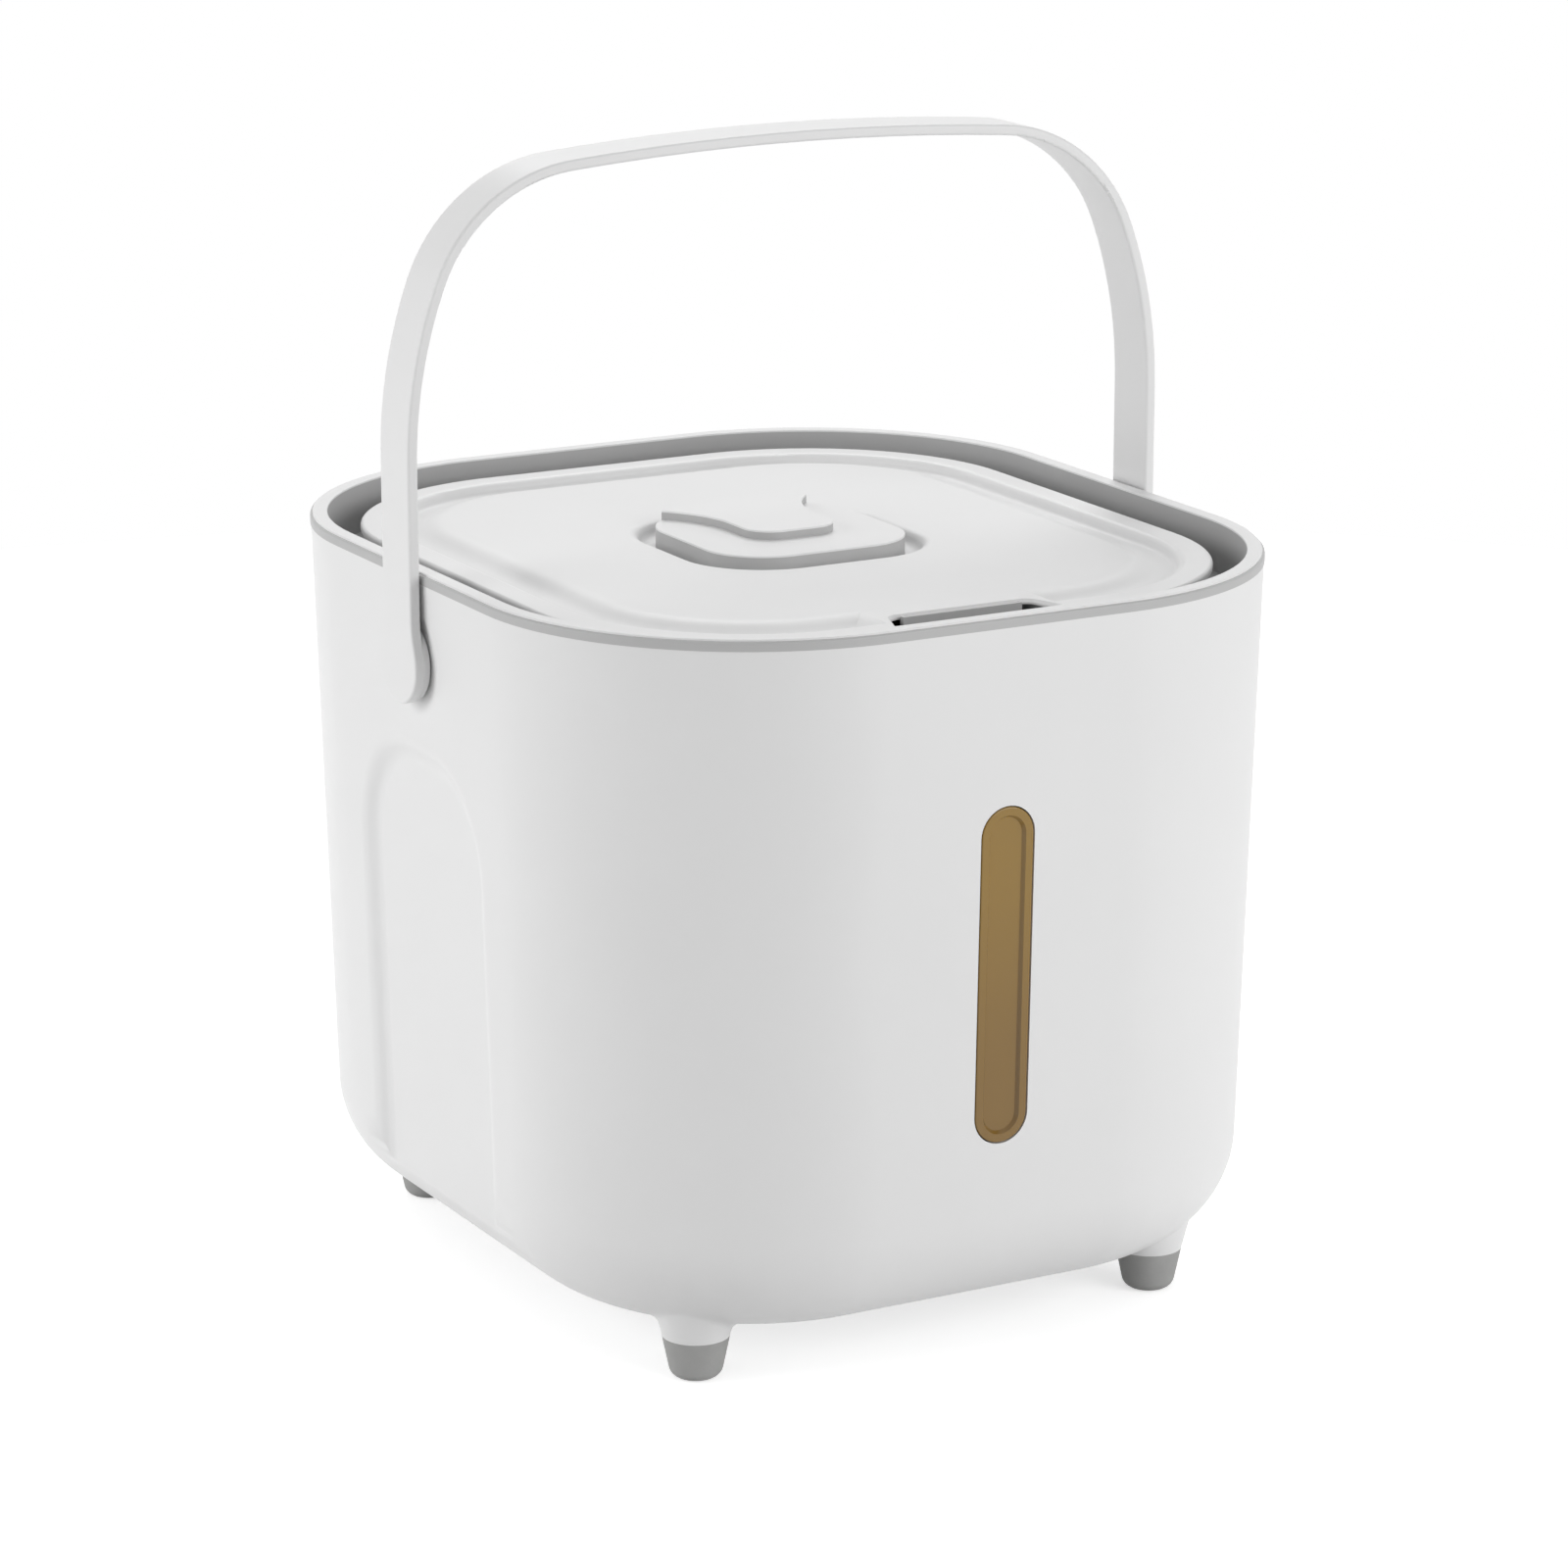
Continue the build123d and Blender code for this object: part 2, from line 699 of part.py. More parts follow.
def repellent_cup():
    """Vented cup clamped between the lid's cover and base."""
    bottom = base_top - cup_depth
    cup = rod(cup_radius, bottom, base_top)
    cup += rod(cup_radius + cup_flange, base_top - cup_flange_thickness, base_top)
    cup -= rod(cup_radius - cup_wall, bottom + cup_wall, base_top)
    for slot in range(vent_slots):
        y = (slot - (vent_slots - 1) / 2) * vent_pitch
        reach = cup_radius - 2 * cup_wall
        length = 2 * sqrt(reach ** 2 - y ** 2) - vent_width
        vent = extrude(SlotOverall(length, vent_width), cup_wall)
        cup -= Pos(0, y, bottom) * vent
    return cup


def tongue_outline():
    """Raised grip on the cover: a tongue from the rear edge that flares at its root."""
    half = tongue_width / 2
    rear = cover_size / 2
    start = tongue_start
    root_x = half + tongue_flare * (1 - cos(radians(tongue_turn)))
    root_y = start + tongue_flare * sin(radians(tongue_turn))
    right = TangentArc((half, start), (root_x, root_y), tangent=(0, 1))
    left = mirror(right, about=Plane.YZ)
    front = Polyline((-half, start), (-half, -tongue_reach), (half, -tongue_reach), (half, start))
    back = Polyline((root_x, root_y), (root_x, rear), (-root_x, rear), (-root_x, root_y))
    shape = make_face(front.edges() + right.edges() + back.edges() + left.edges())
    shape = fillet(shape.vertices().group_by(Axis.Y)[0], tongue_corner)
    return shape & cover_outline(0)


def cover_face():
    """White layer on the cover's low level, round the tongue."""
    plate = extrude(cover_outline(0), face_thickness)
    plate = fillet(plate.edges().group_by(Axis.Z)[-1], face_edge_round)
    plate -= extrude(tongue_outline(), face_thickness)
    return Pos(0, 0, cover_low - face_thickness) * plate


def tongue_face():
    """White layer on top of the tongue."""
    plate = extrude(tongue_outline(), face_thickness)
    plate = fillet(plate.edges().group_by(Axis.Z)[-1], face_edge_round)
    return Pos(0, 0, cover_low + tongue_rise - face_thickness) * plate


def repellent_cover():
    """Lift-out cover's grey body: a rounded square, a raised tongue and a round plug under it."""
    cover = extrude(cover_outline(0), cover_low - face_thickness - cover_bottom)
    cover -= extrude(cover_outline(-cover_wall), cover_low - cover_bottom - cover_wall)
    cover = Pos(0, 0, cover_bottom) * cover
    tongue = extrude(tongue_outline(), cover_wall / 2 + tongue_rise - face_thickness)
    cover += Pos(0, 0, cover_low - cover_wall / 2) * tongue
    plug_bottom = moat_bottom - plug_reach
    cover += tube(plug_radius, plug_radius - plug_ring_wall, plug_bottom, cover_low - face_thickness)
    low, high = seal_span()
    groove = tube(plug_radius + seal_bite, plug_radius - seal_bite, low - press_fit, high + press_fit)
    return cover - groove


def seal_span():
    """Bottom and top of the plug's seal."""
    middle = moat_bottom - plug_reach / 2 - lid_wall / 2
    return middle - seal_height / 2, middle + seal_height / 2


def cover_seal():
    """Ring round the cover's plug that wipes the well."""
    low, high = seal_span()
    return tube(well_radius - body_gap, plug_radius - seal_bite + press_fit, low, high)


nodes = {
    "outer_shell": outer_shell(),
    "rim_collar": rim_collar(),
    "rim_ring": rim_ring(),
    "window_lens": window_lens(),
    "window_gasket": window_gasket(),
    "window_retainer": window_retainer(),
    "window_screws": window_screws(),
    "handle": handle(),
    "pivot_bush_right": pivot_bush(),
    "pivot_bush_left": mirrored(pivot_bush()),
    "pivot_clip_right": pivot_clip(),
    "pivot_clip_left": mirrored(pivot_clip()),
    "lid_cover": lid_cover(),
    "lid_base": lid_base(),
    "lid_gasket": lid_gasket(),
    "lid_screws": lid_screws(),
    "repellent_cup": repellent_cup(),
    "repellent_cover": repellent_cover(),
    "cover_face": cover_face(),
    "tongue_face": tongue_face(),
    "cover_seal": cover_seal(),
}
for name, x, y in foot_places():
    nodes[f"foot_pad_{name}"] = foot_pad(x, y)

for name, shape in nodes.items():
    export_step(shape, f"parts/{name}.step")
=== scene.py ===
"""Looks of the rice storage bucket: mouldings, small parts, finishes, studio and camera."""

import logging
from abc import ABC, abstractmethod
from collections.abc import Iterable, Mapping
from dataclasses import dataclass
from enum import Enum
from math import atan2, cos, pi, radians, sin
from typing import Any

import bmesh
import bpy
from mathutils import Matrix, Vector


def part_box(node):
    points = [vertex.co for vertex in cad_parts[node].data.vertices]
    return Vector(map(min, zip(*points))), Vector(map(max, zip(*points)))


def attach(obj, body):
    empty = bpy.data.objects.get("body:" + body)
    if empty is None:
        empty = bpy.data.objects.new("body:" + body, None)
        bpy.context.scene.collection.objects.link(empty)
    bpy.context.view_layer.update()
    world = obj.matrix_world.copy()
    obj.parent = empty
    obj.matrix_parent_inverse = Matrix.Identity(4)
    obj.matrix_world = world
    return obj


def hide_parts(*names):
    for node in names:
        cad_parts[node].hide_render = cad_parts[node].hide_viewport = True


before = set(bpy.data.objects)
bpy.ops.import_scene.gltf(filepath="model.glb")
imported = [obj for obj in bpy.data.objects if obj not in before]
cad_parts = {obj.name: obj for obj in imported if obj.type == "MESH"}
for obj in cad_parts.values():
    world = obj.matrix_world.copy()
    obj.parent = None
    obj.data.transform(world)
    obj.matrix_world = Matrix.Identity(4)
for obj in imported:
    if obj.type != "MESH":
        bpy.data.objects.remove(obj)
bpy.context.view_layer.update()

LOG = logging.getLogger("rice_bucket")
MM = 0.001
WELD = 0.001 * MM
AIM_HEIGHT = 0.15
IMAGE_MIDDLE = 0.5
NOISE_MIDDLE = 0.5
FULL = 1.0
OPAQUE = 1.0

# Numbers of a Mix node's sockets when it blends colours.
MIX_FIRST = 6
MIX_SECOND = 7
MIX_RESULT = 2

Colour = tuple[float, float, float]
Stretch = tuple[float, float, float]

DARK: Colour = (0.0, 0.0, 0.0)
BRIGHT: Colour = (1.0, 1.0, 1.0)
EVEN: Stretch = (1.0, 1.0, 1.0)
DOWN = Vector((0, 0, -1))


class Body(Enum):
    """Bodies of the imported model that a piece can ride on."""

    BASE = "base"
    BAIL = "bail"
    LID = "lid"
    CUP_COVER = "cup_cover"


class Slot(Enum):
    """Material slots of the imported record."""

    WHITE = "white_plastic"
    GREY = "grey_plastic"
    AMBER = "amber_lens"
    SEAL = "seal_rubber"
    FOOT = "foot_rubber"
    BUSH = "bush_plastic"
    STEEL = "steel"


class Socket:
    """A node's output, whose arithmetic adds Math nodes to the same tree."""

    def __init__(self, book: "NodeBook", plug: bpy.types.NodeSocket) -> None:
        """Wrap an output.

        Args:
            book: The tree that the output belongs to.
            plug: The output itself.
        """
        self.book = book
        self.plug = plug

    def _math(self, operation: str, first: Any, second: Any) -> "Socket":
        """Add one Math node.

        Args:
            operation: The Math node's operation.
            first: Its first value or socket.
            second: Its second value or socket.

        Returns:
            The node's result.
        """
        return self.book.node("ShaderNodeMath", {"operation": operation}, {0: first, 1: second})

    def __add__(self, other: Any) -> "Socket":
        """Sum of this and another value."""
        return self._math("ADD", self, other)

    def __radd__(self, other: Any) -> "Socket":
        """Sum of another value and this."""
        return self._math("ADD", other, self)

    def __sub__(self, other: Any) -> "Socket":
        """This less another value."""
        return self._math("SUBTRACT", self, other)

    def __mul__(self, other: Any) -> "Socket":
        """Product of this and another value."""
        return self._math("MULTIPLY", self, other)

    def largest(self, other: Any) -> "Socket":
        """Larger of this and another value."""
        return self._math("MAXIMUM", self, other)


class NodeBook:
    """One node tree and the shorthand that fills it."""

    def __init__(self, tree: bpy.types.NodeTree) -> None:
        """Clear a tree and take it over.

        Args:
            tree: The node tree of a material or a world.
        """
        self.tree = tree
        tree.nodes.clear()

    def node(
        self,
        kind: str,
        settings: Mapping[str, Any] | None = None,
        inputs: Mapping[int | str, Any] | None = None,
        output: int | str = 0,
    ) -> Socket:
        """Add any node.

        Args:
            kind: The node's type.
            settings: Its own settings, set before its sockets.
            inputs: Values or links of its sockets, by name or number.
            output: The output to hand back, by name or number.

        Returns:
            The chosen output, or the first input of a node without outputs.
        """
        made = self.tree.nodes.new(kind)
        for name, value in (settings or {}).items():
            setattr(made, name, value)
        for name, value in (inputs or {}).items():
            if isinstance(value, Socket):
                self.tree.links.new(value.plug, made.inputs[name])
            else:
                made.inputs[name].default_value = value
        return Socket(self, made.outputs[output] if made.outputs else made.inputs[0])

    def place(self) -> Socket:
        """Place on the object, in metres."""
        return self.node("ShaderNodeTexCoord", output="Object")

    def noise(self, size: float, detail: float, stretch: Stretch = EVEN) -> Socket:
        """Smooth noise over the object.

        Args:
            size: Size of its lumps, in metres.
            detail: Finer layers on top of the lumps.
            stretch: Scale of the pattern along each axis.

        Returns:
            A value around one half.
        """
        scaled = {"Vector": self.place(), "Scale": stretch}
        where = self.node("ShaderNodeMapping", {"vector_type": "POINT"}, scaled)
        inputs = {"Vector": where, "Scale": 1.0 / size, "Detail": detail}
        return self.node("ShaderNodeTexNoise", {}, inputs, "Fac")

    def mix(self, share: Socket, first: Colour, second: Colour) -> Socket:
        """Blend of two colours.

        Args:
            share: How much of the second colour shows.
            first: The colour at a share of 0.
            second: The colour at a share of 1.

        Returns:
            The blended colour.
        """
        inputs = {
            "Factor": share,
            MIX_FIRST: (*first, OPAQUE),
            MIX_SECOND: (*second, OPAQUE),
        }
        return self.node("ShaderNodeMix", {"data_type": "RGBA"}, inputs, MIX_RESULT)

    def bump(self, height: Socket, depth: float) -> Socket:
        """Normal of a surface with a relief.

        Args:
            height: The relief, as a share of its depth.
            depth: The relief's depth, in metres.

        Returns:
            The normal.
        """
        inputs = {"Height": height, "Distance": depth, "Strength": FULL}
        return self.node("ShaderNodeBump", {}, inputs, "Normal")

    def surface(self, inputs: Mapping[int | str, Any]) -> None:
        """Finish a material with one Principled shader.

        Args:
            inputs: Values or links of the shader's sockets.
        """
        shader = self.node("ShaderNodeBsdfPrincipled", {}, inputs)
        self.node("ShaderNodeOutputMaterial", {}, {"Surface": shader})


def shade(colour: Colour, factor: float) -> Colour:
    """Colour made lighter or darker.

    Args:
        colour: The colour, linear.
        factor: What each channel is multiplied by.

    Returns:
        The changed colour.
    """
    return (colour[0] * factor, colour[1] * factor, colour[2] * factor)


@dataclass(frozen=True)
class Finish(ABC):
    """Look of one material slot."""

    slot: Slot
    colour: Colour
    roughness: float

    @abstractmethod
    def fill(self, book: NodeBook) -> None:
        """Build the finish's nodes."""

    def material(self) -> bpy.types.Material:
        """Material of this finish, made once.

        Returns:
            The material.
        """
        name = f"{self.slot.value}_finish"
        made = bpy.data.materials.get(name)
        if made is None:
            made = bpy.data.materials.new(name)
            made.use_nodes = True
            self.fill(NodeBook(made.node_tree))
        return made


@dataclass(frozen=True)
class MouldedPlastic(Finish):
    """Satin injection moulding: faint clouding, long flow marks and a fine eroded grain."""

    cloud_size: float = 60 * MM
    cloud_detail: float = 3.0
    cloud_shade: float = 0.965
    flow_size: float = 14 * MM
    flow_detail: float = 1.0
    flow_stretch: Stretch = (1.0, 1.0, 0.18)
    flow_depth: float = 0.03 * MM
    flow_weight: float = 0.6
    grain_size: float = 0.9 * MM
    grain_detail: float = 2.0
    grain_depth: float = 0.006 * MM
    grain_weight: float = 0.4
    roughness_swing: float = 0.1
    specular: float = 0.45

    def fill(self, book: NodeBook) -> None:
        """Build the plastic's nodes."""
        clouds = book.noise(self.cloud_size, self.cloud_detail)
        flow = book.noise(self.flow_size, self.flow_detail, self.flow_stretch)
        grain = book.noise(self.grain_size, self.grain_detail)
        share = self.grain_depth / self.flow_depth
        relief = flow + grain * share
        wear = flow * self.flow_weight + grain * self.grain_weight - NOISE_MIDDLE
        book.surface(
            {
                "Base Color": book.mix(clouds, shade(self.colour, self.cloud_shade), self.colour),
                "Roughness": self.roughness + wear * self.roughness_swing,
                "Normal": book.bump(relief, self.flow_depth),
                "Specular IOR Level": self.specular,
            }
        )


@dataclass(frozen=True)
class SmokyLens(Finish):
    """Polished amber plastic, a little deeper in colour towards its bottom."""

    deep: Colour = (0.218, 0.122, 0.022)
    low: float = 0.09
    high: float = 0.17
    haze_size: float = 9 * MM
    haze_detail: float = 3.0
    haze_shade: float = 0.1
    haze_roughness: float = 0.1
    ripple_depth: float = 0.02 * MM
    coat: float = 0.1
    coat_roughness: float = 0.06

    def fill(self, book: NodeBook) -> None:
        """Build the lens's nodes."""
        height = book.node("ShaderNodeSeparateXYZ", {}, {"Vector": book.place()}, "Z")
        span = {"Value": height, "From Min": self.low, "From Max": self.high}
        rise = book.node("ShaderNodeMapRange", {"interpolation_type": "SMOOTHSTEP"}, span)
        haze = book.noise(self.haze_size, self.haze_detail)
        share = rise + (haze - NOISE_MIDDLE) * self.haze_shade
        book.surface(
            {
                "Base Color": book.mix(share, self.deep, self.colour),
                "Roughness": self.roughness + haze * self.haze_roughness,
                "Normal": book.bump(haze, self.ripple_depth),
                "Coat Weight": self.coat,
                "Coat Roughness": self.coat_roughness,
            }
        )


@dataclass(frozen=True)
class SoftRubber(Finish):
    """Matt rubber with a mottled colour and a pebbled skin."""

    mottle_size: float = 5 * MM
    mottle_detail: float = 4.0
    mottle_shade: float = 0.86
    pebble_size: float = 0.7 * MM
    pebble_detail: float = 2.0
    pebble_depth: float = 0.04 * MM
    roughness_swing: float = 0.14
    specular: float = 0.3

    def fill(self, book: NodeBook) -> None:
        """Build the rubber's nodes."""
        mottle = book.noise(self.mottle_size, self.mottle_detail)
        pebbles = book.noise(self.pebble_size, self.pebble_detail)
        book.surface(
            {
                "Base Color": book.mix(mottle, shade(self.colour, self.mottle_shade), self.colour),
                "Roughness": self.roughness + (pebbles - NOISE_MIDDLE) * self.roughness_swing,
                "Normal": book.bump(pebbles, self.pebble_depth),
                "Specular IOR Level": self.specular,
            }
        )


@dataclass(frozen=True)
class PlatedSteel(Finish):
    """Bright plating with turning marks and small dull spots."""

    mark_size: float = 0.25 * MM
    mark_detail: float = 1.0
    mark_stretch: Stretch = (0.15, 1.0, 1.0)
    mark_depth: float = 0.008 * MM
    spot_size: float = 1.6 * MM
    spot_detail: float = 4.0
    spot_shade: float = 0.75
    roughness_swing: float = 0.3

    def fill(self, book: NodeBook) -> None:
        """Build the steel's nodes."""
        marks = book.noise(self.mark_size, self.mark_detail, self.mark_stretch)
        spots = book.noise(self.spot_size, self.spot_detail)
        book.surface(
            {
                "Base Color": book.mix(spots, shade(self.colour, self.spot_shade), self.colour),
                "Metallic": FULL,
                "Roughness": self.roughness + (spots - NOISE_MIDDLE) * self.roughness_swing,
                "Normal": book.bump(marks, self.mark_depth),
            }
        )


WHITE = MouldedPlastic(Slot.WHITE, colour=(0.8, 0.8, 0.8), roughness=0.42)
# Grey plastic; on the cup cover's body it also stands for painted shade on the knob's sides.
GREY = MouldedPlastic(Slot.GREY, colour=(0.475, 0.475, 0.475), roughness=0.45)
AMBER = SmokyLens(Slot.AMBER, colour=(0.275, 0.16, 0.022), roughness=0.16)
SEAL = SoftRubber(Slot.SEAL, colour=(0.58, 0.58, 0.57), roughness=0.62)
FOOT = SoftRubber(Slot.FOOT, colour=(0.4, 0.4, 0.394), roughness=0.78)
BUSH = MouldedPlastic(Slot.BUSH, colour=(0.72, 0.72, 0.7), roughness=0.35)
STEEL = PlatedSteel(Slot.STEEL, colour=(0.62, 0.62, 0.63), roughness=0.3)


@dataclass
class SubAssembly(ABC):
    """Pieces that belong together, with the steps that they share."""

    body: Body
    crease: float = radians(32)

    @abstractmethod
    def build(self) -> list[bpy.types.Object]:
        """Build and dress every piece."""

    def merged(self, node: str) -> bmesh.types.BMesh:
        """Joined copy of a CAD node's loose triangles.

        Args:
            node: The node's name.

        Returns:
            The copy.
        """
        shape = bmesh.new()
        shape.from_mesh(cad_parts[node].data)
        bmesh.ops.remove_doubles(shape, verts=shape.verts, dist=WELD)
        return shape

    def settle(
        self,
        shape: bmesh.types.BMesh,
        name: str,
        finish: Finish,
        nodes: Iterable[str],
        body: Body | None = None,
    ) -> bpy.types.Object:
        """Turn a shape into a dressed piece that rides on a body.

        Args:
            shape: The shape, which is used up.
            name: The piece's name.
            finish: Its finish.
            nodes: The CAD nodes that it stands for.
            body: The body that it rides on, if it isn't this sub-assembly's own.

        Returns:
            The piece.
        """
        for face in shape.faces:
            face.smooth = True
        for edge in shape.edges:
            edge.smooth = edge.calc_face_angle(pi) < self.crease
        mesh = bpy.data.meshes.new(name)
        shape.to_mesh(mesh)
        shape.free()
        piece = bpy.data.objects.new(name, mesh)
        bpy.context.scene.collection.objects.link(piece)
        even = piece.modifiers.new("even_normals", "WEIGHTED_NORMAL")
        even.mode = "FACE_AREA_WITH_ANGLE"
        even.keep_sharp = True
        mesh.materials.append(finish.material())
        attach(piece, (body or self.body).value)
        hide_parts(*nodes)
        return piece

    def moulding(
        self,
        node: str,
        name: str,
        finish: Finish,
        body: Body | None = None,
    ) -> bpy.types.Object:
        """Smooth piece in the shape of one CAD node.

        Args:
            node: The node's name.
            name: The piece's name.
            finish: Its finish.
            body: The body that it rides on, if it isn't this sub-assembly's own.

        Returns:
            The piece.
        """
        return self.settle(self.merged(node), name, finish, [node], body)


@dataclass
class Fasteners:
    """Screws of one CAD node, with a six-lobed recess sunk into each head."""

    facing: Vector
    recess_share: float = 0.58
    lobe_share: float = 0.14
    lobes: int = 6
    depth: float = 1.0 * MM
    flat_limit: float = 0.999
    reach_limit: float = 0.5 * MM

    def sink_recesses(self, shape: bmesh.types.BMesh) -> None:
        """Sink a recess into every head.

        Args:
            shape: The joined screws.
        """
        heads = self.head_faces(shape)
        joined = bmesh.ops.dissolve_faces(shape, faces=heads)["region"]
        for top in joined:
            self.sink_one(shape, top)

    def head_faces(self, shape: bmesh.types.BMesh) -> list[bmesh.types.BMFace]:
        """Flat end faces of the heads.

        Args:
            shape: The joined screws.

        Returns:
            The triangles that face outwards and lie furthest out.
        """
        shape.normal_update()
        level = [face for face in shape.faces if face.normal.dot(self.facing) > self.flat_limit]
        reach = max(face.calc_center_median().dot(self.facing) for face in level)
        lowest = reach - self.reach_limit - self.tilt_slack(level)
        return [face for face in level if face.calc_center_median().dot(self.facing) > lowest]

    def tilt_slack(self, level: list[bmesh.types.BMFace]) -> float:
        """How much lower a head lies where the heads stand on a leaning wall.

        Args:
            level: The outward faces.

        Returns:
            The difference in reach between the heads, in metres.
        """
        lean = level[0].normal - self.facing
        places = [face.calc_center_median().dot(lean) for face in level]
        return max(places) - min(places)

    def sink_one(self, shape: bmesh.types.BMesh, top: bmesh.types.BMFace) -> None:
        """Sink a recess into one head.

        Args:
            shape: The joined screws.
            top: The head's flat end.
        """
        center = top.calc_center_median()
        normal = top.normal.copy()
        radius = max((v.co - center).length for v in top.verts)
        border = radius * (1 - self.recess_share)
        bmesh.ops.inset_individual(shape, faces=[top], thickness=border)
        across = normal.orthogonal().normalized()
        along = normal.cross(across)
        for vert in top.verts:
            arm = vert.co - center
            turn = atan2(arm.dot(along), arm.dot(across))
            vert.co = center + arm * (1 + self.lobe_share * cos(self.lobes * turn))
        pit = bmesh.ops.extrude_discrete_faces(shape, faces=[top])["faces"][0]
        bmesh.ops.translate(shape, verts=pit.verts, vec=-normal * self.depth)


@dataclass
class Tub(SubAssembly):
    """White tub with its recesses, dishes and foot cones."""

    body: Body = Body.BASE

    def build(self) -> list[bpy.types.Object]:
        """Build and dress the tub.

        Returns:
            The tub.
        """
        return [self.moulding("outer_shell", "tub_moulding", WHITE)]


@dataclass
class Rim(SubAssembly):
    """Grey collar on the tub's edge and the white ring on top of it."""

    body: Body = Body.BASE

    def build(self) -> list[bpy.types.Object]:
        """Build and dress the rim.

        Returns:
            The collar and the ring.
        """
        collar = self.moulding("rim_collar", "collar_moulding", GREY)
        ring = self.moulding("rim_ring", "ring_moulding", WHITE)
        return [collar, ring]


@dataclass
class LevelWindow(SubAssembly):
    """Amber lens in the front wall with its seal, retainer and screws."""

    body: Body = Body.BASE
    draft: float = radians(1.6)

    def build(self) -> list[bpy.types.Object]:
        """Build and dress the window.

        Returns:
            The lens, the seal, the retainer and the screws.
        """
        lens = self.moulding("window_lens", "lens_plate", AMBER)
        seal = self.moulding("window_gasket", "lens_seal", SEAL)
        retainer = self.moulding("window_retainer", "lens_retainer", GREY)
        inwards = Vector((0, cos(self.draft), sin(self.draft)))
        screws = self.merged("window_screws")
        Fasteners(inwards).sink_recesses(screws)
        fasteners = self.settle(screws, "lens_fasteners", STEEL, ["window_screws"])
        return [lens, seal, retainer, fasteners]


@dataclass
class Bail(SubAssembly):
    """Swinging handle, its clips, and the bushes that it turns in."""

    body: Body = Body.BAIL
    sides: tuple[str, str] = ("right", "left")

    def build(self) -> list[bpy.types.Object]:
        """Build and dress the handle and its bearings.

        Returns:
            The strap, the clips and the bushes.
        """
        made = [self.moulding("handle", "bail_strap", WHITE)]
        for side in self.sides:
            made.append(self.moulding(f"pivot_clip_{side}", f"bail_clip_{side}", STEEL))
            made.append(self.moulding(f"pivot_bush_{side}", f"bail_bush_{side}", BUSH, Body.BASE))
        return made


@dataclass
class Lid(SubAssembly):
    """Lift-off lid: cover, base, seal, screws and the repellent cup."""

    body: Body = Body.LID

    def build(self) -> list[bpy.types.Object]:
        """Build and dress the lid.

        Returns:
            The cover, the base, the seal, the cup and the screws.
        """
        cover = self.moulding("lid_cover", "lid_top", WHITE)
        base = self.moulding("lid_base", "lid_underside", GREY)
        seal = self.moulding("lid_gasket", "lid_seal", SEAL)
        cup = self.moulding("repellent_cup", "sachet_cup", WHITE)
        screws = self.merged("lid_screws")
        Fasteners(DOWN).sink_recesses(screws)
        fasteners = self.settle(screws, "lid_fasteners", STEEL, ["lid_screws"])
        return [cover, base, seal, cup, fasteners]


@dataclass
class CupCover(SubAssembly):
    """Lift-out cover of the repellent cup: grey body, two white layers and a seal; the body's grey
    on the knob's sides and the tongue's step is painted shade.
    """

    body: Body = Body.CUP_COVER

    def build(self) -> list[bpy.types.Object]:
        """Build and dress the cover.

        Returns:
            The body, the two layers and the seal.
        """
        # The body's grey, seen on the knob's sides and the tongue's step, is painted shade.
        cover = self.moulding("repellent_cover", "sachet_cover", GREY)
        low_face = self.moulding("cover_face", "sachet_cover_face", WHITE)
        tongue = self.moulding("tongue_face", "sachet_tongue_face", WHITE)
        seal = self.moulding("cover_seal", "sachet_seal", SEAL)
        return [cover, low_face, tongue, seal]


